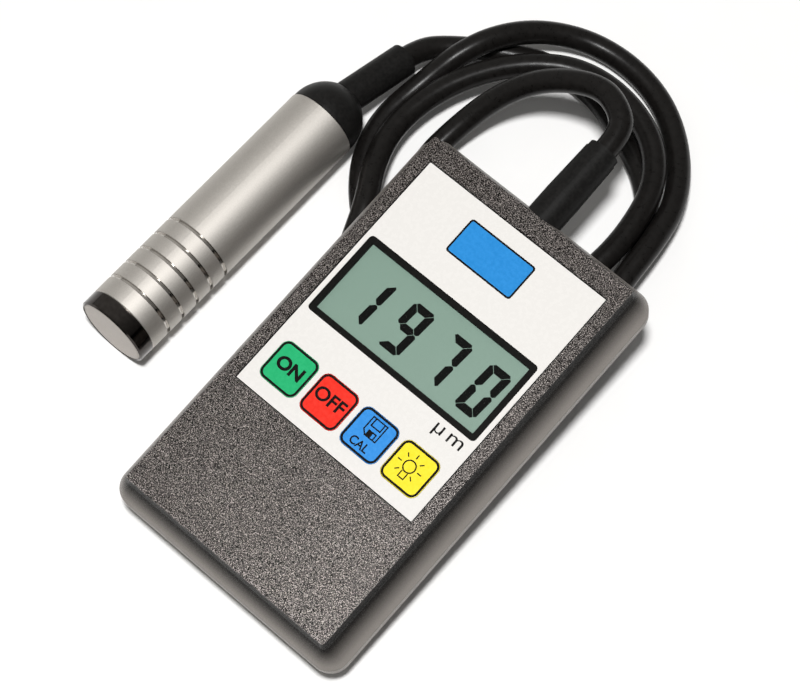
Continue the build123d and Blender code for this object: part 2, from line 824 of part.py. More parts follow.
# Two wires from the cable's end to the winding
tail_plane = exit_plane.offset(-cable_in_probe)
with BuildPart() as coil_leads:
    for step in (-1, 1):
        with BuildLine() as path:
            FilletPolyline(
                tail_plane.from_local_coords((step * wire_pitch, 0, 0)),
                tail_plane.from_local_coords((step * wire_pitch, 0, -tail_run)),
                probe_plane.from_local_coords((bobbin_end + coil_lead_run, step * coil_lead_reach, 0)),
                probe_plane.from_local_coords((bobbin_end, step * coil_lead_reach, 0)),
                radius=coil_lead_bend,
            )
        with BuildSketch(Plane(origin=path.wire() @ 0, z_dir=path.wire() % 0)):
            Circle(wire_radius)
        sweep()
write(coil_leads, "coil_leads")

# Free cable: loops beside and under the case, from its sleeve to the probe's sleeve.
# The points are given from the middle of the case's bottom edge and were chosen by eye.
cable_loops = [
    (-3.9, 139.4, 27.4), (-10.6, 141.9, 26.1), (-18.7, 140.0, 23.0), (-26.3, 135.8, 18.6),
    (-32.0, 129.0, 13.0), (-35.2, 120.0, 8.0), (-36.8, 108.5, 4.4), (-32.8, 97.3, 3.0),
    (-23.3, 90.0, 2.95), (-11, 88, 2.95), (1.2, 91.6, 3.6), (9.6, 100.8, 6.4),
    (13.1, 112.5, 9.1), (13.0, 125.0, 9.1), (10.0, 138.0, 9.1), (1.8, 147.0, 9.1),
    (-11, 151.2, 9.1), (-23.5, 149.8, 9.1), (-33.5, 142.8, 9.1), (-41.0, 132.8, 9.0),
    (-45.6, 121.6, 8.2), (-46.8, 109.5, 7.8), (-43.6, 98.9, 8.6), (-37.4, 89.2, 9.8),
    (-33.4, 78.2, 6.6), (-26.5, 69.3, 3.0), (-14, 66, 2.95), (0, 68, 2.95),
    (12, 75.5, 2.95), (20.2, 87, 4.2), (22.0, 100, 8.2), (19.8, 113.0, 9.1),
    (18.9, 125.5, 9.0), (16.3, 138.0, 6.6), (8.8, 149.4, 4.0), (-2, 158, 3.0),
    (-14.5, 161.5, 2.95), (-27, 160.2, 3.6), (-37, 153.5, 6.6), (-43.4, 144.3, 9.3),
    (-47.5, 134.5, 9.1), (-50.4, 123.5, 4.6), (-52.0, 111.5, 3.1), (-48.6, 100.4, 2.95),
    (-41.5, 91.3, 2.95), (-32, 84.5, 2.95), (-20, 81, 2.95), (-7, 81, 2.95),
    (6, 85.2, 2.95), (15.4, 94, 2.95), (19.6, 106, 2.95), (18.2, 119, 2.95),
    (13.9, 131.0, 2.95), (5.6, 140.4, 2.95), (-6.5, 146, 2.95), (-18.5, 150, 2.95),
    (-31.5, 149, 2.95), (-43.6, 143.0, 2.95), (-52.5, 136.4, 3.3),
]
cable_first_run = 6.4
cable_last_run = 5.4
case_mouth = case_point(0, case_sleeve_end, parting_height)
route = [case_mouth, case_mouth + across * cable_first_run]
route += [Vector(x - middle_x, y - middle_y, z) for x, y, z in cable_loops]
route += [probe_mouth + exit_way * cable_last_run, probe_mouth]
runs = [end - start for start, end in zip(route, route[1:])]
cable_radii = []
for before, after in zip(runs, runs[1:]):
    half_turn = radians(before.get_angle(after)) / 2
    cable_radii.append(0.45 * min(before.length, after.length) / tan(half_turn))

with BuildPart() as probe_cable:
    with BuildLine() as cable_path:
        FilletPolyline(*route, radius=cable_radii)
    with BuildSketch(Plane(origin=cable_path.wire() @ 0, z_dir=cable_path.wire() % 0)):
        Circle(cable_radius)
    sweep()
write(probe_cable, "probe_cable")

path_length = cable_path.wire().length
volume_share = probe_cable.part.volume / (pi * cable_radius**2 * path_length)
print("cable radii", [round(radius, 1) for radius in cable_radii])
print("cable runs", [round(run.length, 1) for run in runs])
print("cable length", round(path_length, 1), "volume over section times length", round(volume_share, 4))
print("middle", round(middle_x, 3), round(middle_y, 3), "drop", round(case_drop, 3))
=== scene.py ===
import json
from math import cos, pi, radians, sin

import bmesh
import bpy
from mathutils import Matrix, Vector


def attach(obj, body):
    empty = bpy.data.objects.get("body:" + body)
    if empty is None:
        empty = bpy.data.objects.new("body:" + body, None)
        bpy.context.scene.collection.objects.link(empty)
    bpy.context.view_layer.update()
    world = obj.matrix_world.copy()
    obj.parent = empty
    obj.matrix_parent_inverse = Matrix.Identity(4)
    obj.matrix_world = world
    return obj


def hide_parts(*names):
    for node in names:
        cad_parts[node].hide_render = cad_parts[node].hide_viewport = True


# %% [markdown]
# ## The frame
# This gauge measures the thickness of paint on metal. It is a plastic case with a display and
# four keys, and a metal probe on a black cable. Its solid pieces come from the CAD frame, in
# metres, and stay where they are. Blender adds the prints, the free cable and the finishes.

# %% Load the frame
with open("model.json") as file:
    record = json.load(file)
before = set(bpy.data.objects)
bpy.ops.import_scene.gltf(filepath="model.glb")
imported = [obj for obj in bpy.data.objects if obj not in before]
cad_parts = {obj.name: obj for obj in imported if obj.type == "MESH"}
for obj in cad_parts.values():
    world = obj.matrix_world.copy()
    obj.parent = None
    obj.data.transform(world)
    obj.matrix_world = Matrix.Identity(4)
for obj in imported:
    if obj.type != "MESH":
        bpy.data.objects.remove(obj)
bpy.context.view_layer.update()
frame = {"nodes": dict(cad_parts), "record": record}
nodes = frame["nodes"]
print("CAD nodes:", len(nodes))

# %% [markdown]
# ## Places on the tilted case
# The case lies on the loops of its own cable, so it leans back by 7 degrees. A print could be
# made flat and turned with its object, but here each piece of the gauge keeps its object at the
# origin, unturned. So prints are drawn in the case's own plane, in millimetres from the middle of
# its bottom end and up from its back, and one function lays each point in the frame.

# %% The case's own plane
TILT = radians(7)
MIDDLE = (-17.9, 64.209)
DROP = 0.48
CASE_HEIGHT = 22


def on_case(x, y, z):
    """A place on the case, from its own millimetres to the frame's metres."""
    return Vector((
        x - MIDDLE[0],
        y * cos(TILT) - z * sin(TILT) - MIDDLE[1],
        y * sin(TILT) + z * cos(TILT) - DROP,
    )) / 1000


ALONG = Vector((0, cos(TILT), sin(TILT)))
FACE_NORMAL = Vector((0, -sin(TILT), cos(TILT)))
print("bottom end of the face:", [round(v, 4) for v in on_case(0, 0, CASE_HEIGHT)])

# %% [markdown]
# ## Camera
# A viewpoint can be turned by eye until it looks right, but the corners of flat things pin it
# down better. This one was fitted to the corners of the face, the label, the window and the keys.
# It is written as the view's three directions, which become the columns of the camera's matrix. A
# long lens stands well back, as for a picture in a catalogue.

# %% Camera
VIEW_RIGHT = Vector((0.750716, 0.660625, 0.0))
VIEW_DOWN = Vector((0.609262, -0.692348, -0.386594))
VIEW_FORWARD = Vector((-0.255394, 0.290222, -0.92225))
CAMERA_PLACE = (0.167829, -0.175862, 0.577268)
SENSOR_WIDTH = 36
LENS = 121.5
FARTHEST = 20
camera_data = bpy.data.cameras.new("camera")
camera_data.sensor_width = SENSOR_WIDTH
camera_data.lens = LENS
camera_data.clip_end = FARTHEST
camera = bpy.data.objects.new("camera", camera_data)
view_turn = Matrix((VIEW_RIGHT, -VIEW_DOWN, -VIEW_FORWARD)).transposed().to_4x4()
camera.matrix_world = Matrix.Translation(CAMERA_PLACE) @ view_turn
bpy.context.scene.collection.objects.link(camera)
bpy.context.scene.camera = camera
print("camera at", [round(v, 3) for v in camera.location])

# %% [markdown]
# ## Free cable
# On the real gauge a limp cable of 5.8 mm leaves the sleeve at the case's top end, loops under
# and beside the case, and runs into the sleeve of the probe. A cord could be simulated, but these
# loops have a case lying on them and pass over each other at set places. So the route is given by
# the same points as in the CAD source, from mouth to mouth, and leaves each mouth straight.

# %% Route of the cable
LOOPS = [
    (-3.9, 139.4, 27.4), (-10.6, 141.9, 26.1), (-18.7, 140.0, 23.0), (-26.3, 135.8, 18.6),
    (-32.0, 129.0, 13.0), (-35.2, 120.0, 8.0), (-36.8, 108.5, 4.4), (-32.8, 97.3, 3.0),
    (-23.3, 90.0, 2.95), (-11, 88, 2.95), (1.2, 91.6, 3.6), (9.6, 100.8, 6.4),
    (13.1, 112.5, 9.1), (13.0, 125.0, 9.1), (10.0, 138.0, 9.1), (1.8, 147.0, 9.1),
    (-11, 151.2, 9.1), (-23.5, 149.8, 9.1), (-33.5, 142.8, 9.1), (-41.0, 132.8, 9.0),
    (-45.6, 121.6, 8.2), (-46.8, 109.5, 7.8), (-43.6, 98.9, 8.6), (-37.4, 89.2, 9.8),
    (-33.4, 78.2, 6.6), (-26.5, 69.3, 3.0), (-14, 66, 2.95), (0, 68, 2.95),
    (12, 75.5, 2.95), (20.2, 87, 4.2), (22.0, 100, 8.2), (19.8, 113.0, 9.1),
    (18.9, 125.5, 9.0), (16.3, 138.0, 6.6), (8.8, 149.4, 4.0), (-2, 158, 3.0),
    (-14.5, 161.5, 2.95), (-27, 160.2, 3.6), (-37, 153.5, 6.6), (-43.4, 144.3, 9.3),
    (-47.5, 134.5, 9.1), (-50.4, 123.5, 4.6), (-52.0, 111.5, 3.1), (-48.6, 100.4, 2.95),
    (-41.5, 91.3, 2.95), (-32, 84.5, 2.95), (-20, 81, 2.95), (-7, 81, 2.95),
    (6, 85.2, 2.95), (15.4, 94, 2.95), (19.6, 106, 2.95), (18.2, 119, 2.95),
    (13.9, 131.0, 2.95), (5.6, 140.4, 2.95), (-6.5, 146, 2.95), (-18.5, 150, 2.95),
    (-31.5, 149, 2.95), (-43.6, 143.0, 2.95), (-52.5, 136.4, 3.3),
]
CASE_LENGTH = 110.55
CASE_SLEEVE = 21.0
PARTING = 10.8
FIRST_RUN = 6.4
LAST_RUN = 5.4
PROBE_SIDE = -59.7
PROBE_START = 26.6
PROBE_LENGTH = 80.7
PROBE_RADIUS = 9.3
PROBE_SLEEVE = 18.5
PROBE_YAW = radians(7)
PROBE_DIP = radians(10.5)


def on_table(x, y, z):
    """A place beside the case, from the source's millimetres to the frame's metres."""
    return Vector((x - MIDDLE[0], y - MIDDLE[1], z)) / 1000


case_mouth = on_case(0, CASE_LENGTH + CASE_SLEEVE, PARTING)
probe_way = Vector((
    sin(PROBE_YAW) * cos(PROBE_DIP), cos(PROBE_YAW) * cos(PROBE_DIP), -sin(PROBE_DIP),
))
probe_end = on_table(PROBE_SIDE, PROBE_START + PROBE_LENGTH, PROBE_RADIUS)
probe_mouth = probe_end + probe_way * (PROBE_SLEEVE / 1000)
route = [case_mouth, case_mouth + ALONG * FIRST_RUN / 1000]
route += [on_table(*place) for place in LOOPS]
route += [probe_mouth + probe_way * LAST_RUN / 1000, probe_mouth]
print("cable points:", len(route), "probe mouth", [round(v, 4) for v in probe_mouth])

# %% [markdown]
# A round jacket could be a mesh swept along the route. A NURBS curve with a bevel does the same
# and stays one smooth line that the route's points pull into shape. The bevel's depth is 1 and
# the points' radius gives the thickness, because Blender adds that radius to the curve's box.

# %% Cable
CABLE_RADIUS = 0.0029
cable_curve = bpy.data.curves.new("free_cable", "CURVE")
cable_curve.dimensions = "3D"
cable_curve.bevel_depth = 1
cable_curve.bevel_resolution = 6
cable_curve.resolution_u = 8
cable_curve.use_fill_caps = True
spline = cable_curve.splines.new("NURBS")
spline.points.add(len(route) - 1)
for point, place in zip(spline.points, route):
    point.co = (*place, 1)
    point.radius = CABLE_RADIUS
spline.order_u = 3
spline.use_endpoint_u = True
free_cable = bpy.data.objects.new("free_cable", cable_curve)
bpy.context.scene.collection.objects.link(free_cable)
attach(free_cable, "gauge")
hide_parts("probe_cable")
print("cable:", len(spline.points), "control points, radius", CABLE_RADIUS, "m")

# %% [markdown]
# ## Shader nodes
# A material is a tree of nodes that are made, set and linked. Written out, each node takes many
# lines, so one helper makes a node with all of its values. A second one makes a colour ramp from
# a list of steps, which go in from the lowest to the highest, as the ramp keeps them.

# %% Node helpers
def add_node(tree, kind, values=None, **settings):
    """A node with its settings, then the values of its free sockets."""
    node = tree.nodes.new(kind)
    for name, value in settings.items():
        setattr(node, name, value)
    for name, value in (values or {}).items():
        node.inputs[name].default_value = value
    return node


def tone_ramp(tree, steps):
    """A colour ramp through steps of a position and a colour, in rising order."""
    node = add_node(tree, "ShaderNodeValToRGB")
    elements = node.color_ramp.elements
    while len(elements) < len(steps):
        elements.new(1.0)
    for element, (position, color) in zip(elements, steps):
        element.position = position
        element.color = (*color, 1)
    return node


print("node helpers ready")

# %% [markdown]
# ## Shared grain
# Moulded, rubbed and turned surfaces all vary a little from place to place. A picture could show
# that, but it would stretch and repeat. A noise in the object's own coordinates has the same size
# everywhere. One node group gives it as a mask and as a bumped normal, and each material sets its
# own scale.

# %% Grain group
def grain_group():
    """A group that gives a noise mask and the bumped normal for it."""
    group = bpy.data.node_groups.new("fine_grain", "ShaderNodeTree")
    for name, kind in (("Scale", "Float"), ("Depth", "Float"), ("Stretch", "Vector")):
        group.interface.new_socket(name, in_out="INPUT", socket_type="NodeSocket" + kind)
    for name, kind in (("Mask", "Float"), ("Normal", "Vector")):
        group.interface.new_socket(name, in_out="OUTPUT", socket_type="NodeSocket" + kind)
    entry = add_node(group, "NodeGroupInput")
    leave = add_node(group, "NodeGroupOutput")
    place = add_node(group, "ShaderNodeTexCoord")
    stretch = add_node(group, "ShaderNodeVectorMath", operation="MULTIPLY")
    noise = add_node(group, "ShaderNodeTexNoise", {"Detail": 3, "Roughness": 0.6})
    bump = add_node(group, "ShaderNodeBump", {"Strength": 1})
    link = group.links.new
    link(place.outputs["Object"], stretch.inputs[0])
    link(entry.outputs["Stretch"], stretch.inputs[1])
    link(stretch.outputs[0], noise.inputs["Vector"])
    link(entry.outputs["Scale"], noise.inputs["Scale"])
    link(noise.outputs["Fac"], bump.inputs["Height"])
    link(entry.outputs["Depth"], bump.inputs["Distance"])
    link(noise.outputs["Fac"], leave.inputs["Mask"])
    link(bump.outputs["Normal"], leave.inputs["Normal"])
    return group


GRAIN = grain_group()
print("group:", GRAIN.name)

# %% [markdown]
# ## Materials
# Real plastic, rubber and metal are never one flat colour. Each material mixes a darker and a
# lighter tone by the grain and lets the gloss vary with it. What is the same all over a surface,
# such as being metal, stays on the shader's own sockets.

# %% Material makers
def surface(
    name, dark, light, rough, scale, depth, metallic=0.0, stretch=(1, 1, 1), contrast=(0.35, 0.65),
):
    """A material from two tones, a range of roughness and a grain in metres."""
    material = bpy.data.materials.new(name)
    material.use_nodes = True
    tree = material.node_tree
    shader = tree.nodes["Principled BSDF"]
    shader.inputs["Metallic"].default_value = metallic
    own_grain = {"Scale": scale, "Depth": depth, "Stretch": stretch}
    grain = add_node(tree, "ShaderNodeGroup", own_grain, node_tree=GRAIN)
    tones = tone_ramp(tree, ((contrast[0], dark), (contrast[1], light)))
    gloss_range = {"From Min": 0.3, "From Max": 0.7, "To Min": rough[0], "To Max": rough[1]}
    gloss = add_node(tree, "ShaderNodeMapRange", gloss_range)
    link = tree.links.new
    link(grain.outputs["Mask"], tones.inputs["Fac"])
    link(grain.outputs["Mask"], gloss.inputs["Value"])
    link(tones.outputs["Color"], shader.inputs["Base Color"])
    link(gloss.outputs["Result"], shader.inputs["Roughness"])
    link(grain.outputs["Normal"], shader.inputs["Normal"])
    return material


def dull(level, *materials):
    """A lower reflection at right angles, for ink, film and rubber."""
    for material in materials:
        shader = material.node_tree.nodes["Principled BSDF"]
        shader.inputs["Specular IOR Level"].default_value = level


print("material makers ready")

# %% [markdown]
# ## Case plastic
# The face of the case has a coarse moulded grain: dark plastic with light specks where it catches
# the lamp. At this distance a bump alone fades away between the pixels, so those glints are painted
# into the colour as tones of the ramp, with a wide dark part and a short bright end of painted
# highlight.

# %% Grained plastic with painted glints
# From this place up the ramp the specks brighten into painted glints.
PAINTED_GLINT_START = 0.525
PAINTED_GLINT_FOOT = (0.012, 0.0106, 0.0098)
# The light tone is the painted glint of the specks, the dark one is the plastic's own colour.
case_plastic = surface(
    "case_plastic", (0.005, 0.0044, 0.0041), (0.30, 0.265, 0.245), (0.25, 0.31), 4600, 0.00004,
    contrast=(0.43, 0.66),
)
case_ramp = next(node for node in case_plastic.node_tree.nodes if node.type == "VALTORGB")
case_ramp.color_ramp.elements.new(PAINTED_GLINT_START).color = (*PAINTED_GLINT_FOOT, 1)
print("tones of the case:", len(case_ramp.color_ramp.elements))

# %% [markdown]
# The grain ends at the face's edge, and the side walls are smooth. They mirror the dark room just
# under that edge and the pale table along the flare. Real mirroring would need a room round the
# object, and it would change with every viewpoint. So that reflection and its shade are painted
# into the walls' colour by height over the case's back, measured in the plastic by a dot product
# with the face's direction: pale at the parting line and the foot of the flare, black under the
# face's edge and darker towards the back. One mask by the same height keeps the grain to the face,
# and a second one makes the specks glint.

# %% Painted reflection and shade on the smooth walls
# Painted reflection and shade on the walls, as tones by height, warmed like the pale table.
PAINTED_LIGHT_WARMTH = (1, 0.92, 0.85)
PAINTED_WALL_LIGHT_STEPS = (
    (0.46, 0.36), (0.485, 0.33), (0.56, 0.30), (0.64, 0.20), (0.72, 0.09), (0.80, 0.014),
    (0.88, 0.003),
)
PAINTED_SHADE_FOOT = (0.06, 0.055, 0.05)
PAINTED_SHADE_HEAD = (0.005, 0.005, 0.005)
NO_WALL = (0, 0, 0)
WALL = (0.94, 0.94, 0.94)
WALL_MASK = ((0.015, NO_WALL), (0.03, WALL), (0.985, WALL), (0.996, NO_WALL))
WALL_GLINT = 0.015


def height_over_back(tree):
    """The height over the case's back, as a share of the case's height."""
    place = add_node(tree, "ShaderNodeTexCoord")
    upwards = {1: FACE_NORMAL * 1000}
    height = add_node(tree, "ShaderNodeVectorMath", upwards, operation="DOT_PRODUCT")
    back = MIDDLE[1] * sin(TILT) - DROP * cos(TILT)
    share = add_node(tree, "ShaderNodeMapRange", {"From Min": back, "From Max": back + CASE_HEIGHT})
    tree.links.new(place.outputs["Object"], height.inputs[0])
    tree.links.new(height.outputs["Value"], share.inputs["Value"])
    return share.outputs["Result"]


def paint_wall_light(material):
    """The side walls of the case: painted reflection and shade by height, and no glints."""
    tree = material.node_tree
    shader = tree.nodes["Principled BSDF"]
    grain_color = shader.inputs["Base Color"].links[0].from_socket
    grain_mask = shader.inputs["Roughness"].links[0].from_node.inputs["Value"].links[0].from_socket
    share = height_over_back(tree)
    steps = [(place, [level * warmth for warmth in PAINTED_LIGHT_WARMTH]) for place, level in PAINTED_WALL_LIGHT_STEPS]
    # Painted reflection and shade by height, which take the place of the grain on the walls.
    tones = tone_ramp(tree, [(0.0, PAINTED_SHADE_FOOT), *steps, (1.0, PAINTED_SHADE_HEAD)])
    walls = tone_ramp(tree, WALL_MASK)
    color_mix = add_node(tree, "ShaderNodeMix", data_type="RGBA")
    glints = add_node(tree, "ShaderNodeMapRange", {"From Min": 0.46, "From Max": 0.62})
    glint_mix = add_node(tree, "ShaderNodeMix", {"B": WALL_GLINT})
    link = tree.links.new
    link(share, tones.inputs["Fac"])
    link(share, walls.inputs["Fac"])
    link(walls.outputs["Color"], color_mix.inputs["Factor"])
    link(grain_color, color_mix.inputs["A"])
    link(tones.outputs["Color"], color_mix.inputs["B"])
    link(color_mix.outputs["Result"], shader.inputs["Base Color"])
    link(grain_mask, glints.inputs["Value"])
    link(walls.outputs["Color"], glint_mix.inputs["Factor"])
    link(glints.outputs["Result"], glint_mix.inputs["A"])
    link(glint_mix.outputs["Result"], shader.inputs["Specular IOR Level"])
    shader.inputs["IOR"].default_value = 1.55
    shader.inputs["Specular Tint"].default_value = (1.0, 0.92, 0.88, 1)


paint_wall_light(case_plastic)
print("nodes in the case plastic:", len(case_plastic.node_tree.nodes))

# %% [markdown]
# ## Film, ink, jacket and rubber
# The label is a matt white film. Its inks are near black and have no gloss of their own. The
# cable's jacket is a smooth black plastic, and the sleeves and the cap are softer rubber. They
# differ in roughness and in how strongly they reflect more than in colour.

# %% Materials of the label and the cable
label_film = surface(
    "label_film", (0.755, 0.735, 0.705), (0.765, 0.745, 0.715), (0.24, 0.30), 900, 0.000002
)
print_black = surface(
    "print_black", (0.004, 0.0036, 0.0034), (0.007, 0.0064, 0.006), (0.4, 0.5), 1500, 0.000001
)
surround_black = surface(
    "surround_black", (0.004, 0.004, 0.0035), (0.007, 0.0068, 0.006), (0.4, 0.5), 1500, 0.000001
)
cable_jacket = surface(
    "cable_jacket", (0.0062, 0.0056, 0.0052), (0.0095, 0.0086, 0.008), (0.26, 0.34), 700, 0.00002
)
sleeve_rubber = surface(
    "sleeve_rubber", (0.007, 0.0068, 0.0066), (0.012, 0.0115, 0.011), (0.40, 0.52), 1100, 0.00003
)
cap_rubber = surface(
    "cap_rubber", (0.006, 0.0058, 0.0055), (0.011, 0.0105, 0.010), (0.38, 0.5), 1100, 0.00002
)
dull(0.25, label_film)
dull(0.04, print_black, surround_black)
dull(0.14, cable_jacket, cap_rubber)
dull(0.09, sleeve_rubber)
print("materials so far:", len(bpy.data.materials))

# %% [markdown]
# ## Keys and display
# The keys are printed in clean, strong colours, as is the plate at the top of the label. All of
# them share one gloss and one grain, so a table of their two tones is enough. The display is a
# pale green cell with dark digits that hardly reflect.

# %% Materials of the keys and the display
COLOR_PRINTS = {
    "key_green": ((0.012, 0.40, 0.145), (0.016, 0.44, 0.165)),
    "key_red": ((0.80, 0.022, 0.010), (0.86, 0.032, 0.016)),
    "key_blue": ((0.028, 0.25, 0.68), (0.036, 0.28, 0.74)),
    "key_yellow": ((0.88, 0.72, 0.022), (0.93, 0.77, 0.03)),
    "plate_blue": ((0.016, 0.23, 0.60), (0.022, 0.26, 0.66)),
}
color_prints = {
    name: surface(name, dark, light, (0.20, 0.26), 1200, 0.000002)
    for name, (dark, light) in COLOR_PRINTS.items()
}
display_cell = surface(
    "display_cell", (0.217, 0.342, 0.272), (0.225, 0.352, 0.281), (0.40, 0.44), 1600, 0.0000005
)
digit_ink = surface(
    "digit_ink", (0.004, 0.0045, 0.004), (0.006, 0.0065, 0.006), (0.4, 0.5), 1500, 0.000001
)
dull(0.25, *color_prints.values())
dull(0.02, digit_ink)
print("colour prints:", list(color_prints))

# %% [markdown]
# ## Window pane
# A clear pane covers the display. Glass with real refraction would darken the cell and bend the
# digits for no gain, because the pane is thin and flat. So it is a nearly see-through film with a
# faint gloss that varies a little.

# %% Pane
window_clear = surface(
    "window_clear", (0.010, 0.011, 0.010), (0.014, 0.015, 0.014), (0.05, 0.07), 300, 0.0000002
)
window_clear.node_tree.nodes["Principled BSDF"].inputs["Alpha"].default_value = 0.06
window_clear.surface_render_method = "BLENDED"
dull(0.12, window_clear)
print("pane:", window_clear.name)

# %% [markdown]
# ## Probe metal
# The probe's tube is blasted aluminium with five turned grooves. Its ring is polished and nearly
# mirrors the room, and the flat measuring face is dull. Tube and ring are fully metal, so their
# tones tint what they reflect, and the face is only partly so.

# %% Materials of the probe
probe_aluminium = surface(
    "probe_aluminium", (0.49, 0.466, 0.435), (0.55, 0.524, 0.49), (0.55, 0.62), 3200, 0.000002,
    metallic=1.0,
)
ring_polished = surface(
    "ring_polished", (0.045, 0.040, 0.037), (0.062, 0.056, 0.052), (0.09, 0.13), 1200, 0.0000005,
    metallic=1.0,
)
face_metal = surface(
    "face_metal", (0.42, 0.385, 0.35), (0.48, 0.44, 0.405), (0.45, 0.55), 1300, 0.000006, metallic=0.3
)
print("probe materials:", probe_aluminium.name, ring_polished.name, face_metal.name)

# %% [markdown]
# The grooves are cut after the blasting, so their metal is smoother and brighter than the skin.
# They could have a material of their own, but the tube is one CAD piece. Its own shape tells them
# apart: what lies nearer to the tube's axis than the skin is freshly cut.

# %% Bright grooves
SKIN_RADIUS = PROBE_RADIUS - 0.05
SKIN_FADE = 0.2
GROOVE_ROUGHNESS = 0.12


def bright_grooves(material):
    """Below the skin's radius round the tube's axis, the metal is smoother."""
    tree = material.node_tree
    roughness = tree.nodes["Principled BSDF"].inputs["Roughness"]
    skin_rough = roughness.links[0].from_socket
    axis = ((PROBE_SIDE - MIDDLE[0]) / 1000, 0, PROBE_RADIUS / 1000)
    skin_range = {"From Min": (SKIN_RADIUS - SKIN_FADE) / 1000, "From Max": SKIN_RADIUS / 1000}
    place = add_node(tree, "ShaderNodeTexCoord")
    shift = add_node(tree, "ShaderNodeVectorMath", {1: axis}, operation="SUBTRACT")
    across = add_node(tree, "ShaderNodeVectorMath", {1: (1, 0, 1)}, operation="MULTIPLY")
    reach = add_node(tree, "ShaderNodeVectorMath", operation="LENGTH")
    skin = add_node(tree, "ShaderNodeMapRange", skin_range)
    mix = add_node(tree, "ShaderNodeMix", {"A": GROOVE_ROUGHNESS})
    link = tree.links.new
    link(place.outputs["Object"], shift.inputs[0])
    link(shift.outputs[0], across.inputs[0])
    link(across.outputs[0], reach.inputs[0])
    link(reach.outputs["Value"], skin.inputs["Value"])
    link(skin.outputs["Result"], mix.inputs["Factor"])
    link(skin_rough, mix.inputs["B"])
    link(mix.outputs["Result"], roughness)


bright_grooves(probe_aluminium)
print("grooves start under a radius of", SKIN_RADIUS, "mm")

# %% [markdown]
# ## Inside
# Screws, board, switches, battery, leads and coil hardly show in the picture, but the part can be
# taken apart in other scenes. Each has a plain finish of its own kind from one table: two tones,
# a range of roughness, the grain's scale and depth, and for metals how metallic they are. The
# coil's grain is stretched along its turns.

# %% Materials of the inside
BLACK_TONES = ((0.015, 0.015, 0.015), (0.03, 0.03, 0.03), (0.5, 0.6))
INNER_LOOKS = {
    "screw_steel": ((0.42, 0.42, 0.43), (0.58, 0.58, 0.59), (0.25, 0.4), 900, 0.00001, 1.0),
    "holder_white": ((0.72, 0.72, 0.70), (0.80, 0.80, 0.78), (0.5, 0.6), 900, 0.00001),
    "strip_rubber": ((0.20, 0.20, 0.22), (0.30, 0.30, 0.32), (0.6, 0.7), 900, 0.00002),
    "light_guide": ((0.74, 0.78, 0.74), (0.80, 0.84, 0.80), (0.3, 0.4), 700, 0.00001),
    "board_green": ((0.02, 0.16, 0.06), (0.03, 0.22, 0.09), (0.35, 0.45), 1500, 0.00001),
    "chip_black": (*BLACK_TONES, 1500, 0.00001),
    "socket_white": ((0.68, 0.66, 0.60), (0.75, 0.73, 0.67), (0.45, 0.55), 900, 0.00001),
    "switch_black": (*BLACK_TONES, 1500, 0.00001),
    "plunger_black": ((0.02, 0.02, 0.02), (0.035, 0.035, 0.035), (0.5, 0.6), 1500, 0.00001),
    "battery_jacket": ((0.10, 0.10, 0.11), (0.16, 0.16, 0.17), (0.3, 0.4), 600, 0.00001),
    "snap_black": (*BLACK_TONES, 900, 0.00002),
    "lead_red": ((0.40, 0.02, 0.02), (0.50, 0.03, 0.03), (0.4, 0.5), 900, 0.00001),
    "lead_white": ((0.62, 0.62, 0.62), (0.70, 0.70, 0.70), (0.4, 0.5), 900, 0.00001),
    "tie_nylon": ((0.62, 0.62, 0.60), (0.72, 0.72, 0.70), (0.4, 0.5), 900, 0.00001),
    "bobbin_plastic": ((0.06, 0.06, 0.06), (0.1, 0.1, 0.1), (0.5, 0.6), 900, 0.00001),
    "coil_copper": (
        (0.55, 0.24, 0.10), (0.66, 0.33, 0.17), (0.3, 0.45), 300, 0.00006, 1.0, (1, 12, 1),
    ),
    "core_iron": ((0.10, 0.10, 0.11), (0.18, 0.18, 0.19), (0.5, 0.6), 900, 0.00002, 0.6),
}
inner_materials = {name: surface(name, *look) for name, look in INNER_LOOKS.items()}
print("inner materials:", len(inner_materials))

# %% [markdown]
# ## Dressing the CAD pieces
# The part's record says which finish each piece has. So no piece is named here: each one takes
# the material of its own slot, and the free cable takes the jacket.

# %% Put the materials on the CAD nodes
by_slot = {
    "case_plastic": case_plastic, "label_film": label_film, "window_clear": window_clear,
    "display_cell": display_cell, "sleeve_rubber": sleeve_rubber, "cable_jacket": cable_jacket,
    "cap_rubber": cap_rubber, "probe_aluminium": probe_aluminium, "ring_polished": ring_polished,
    "face_metal": face_metal, **color_prints, **inner_materials,
}
subparts = frame["record"]["subparts"]
for subpart in subparts:
    node = nodes[subpart["node"]]
    chosen = by_slot[subpart["material_slot"]]
    for place in node.material_slots:
        place.material = chosen
    if not node.material_slots:
        node.data.materials.append(chosen)
cable_curve.materials.append(cable_jacket)
print("dressed nodes:", len(subparts))

# %% [markdown]
# ## Prints
# On the real gauge the marks are ink on the film, the keys and the display cell. An image on the
# film would be blurred close up, so each mark is a very thin slab with a real edge. Its outline
# is drawn in the case's own millimetres: a rectangle with round corners, a circle, a straight
# stroke of a pen, or the band between two outlines.

# %% Outlines
def rounded(middle, size, radius, less=0.0, steps=6):
    """The outline of a rectangle with round corners, smaller by some millimetres if asked."""
    width, height = size[0] - less, size[1] - less
    points = []
    for corner, (sx, sy) in enumerate(((1, 1), (-1, 1), (-1, -1), (1, -1))):
        for step in range(steps + 1):
            angle = pi / 2 * (corner + step / steps)
            points.append((
                middle[0] + sx * (width / 2 - radius) + radius * cos(angle),
                middle[1] + sy * (height / 2 - radius) + radius * sin(angle),
            ))
    return points


def circle(middle, radius, count=32):
    """The outline of a circle."""
    angles = [2 * pi * step / count for step in range(count)]
    return [(middle[0] + radius * cos(a), middle[1] + radius * sin(a)) for a in angles]


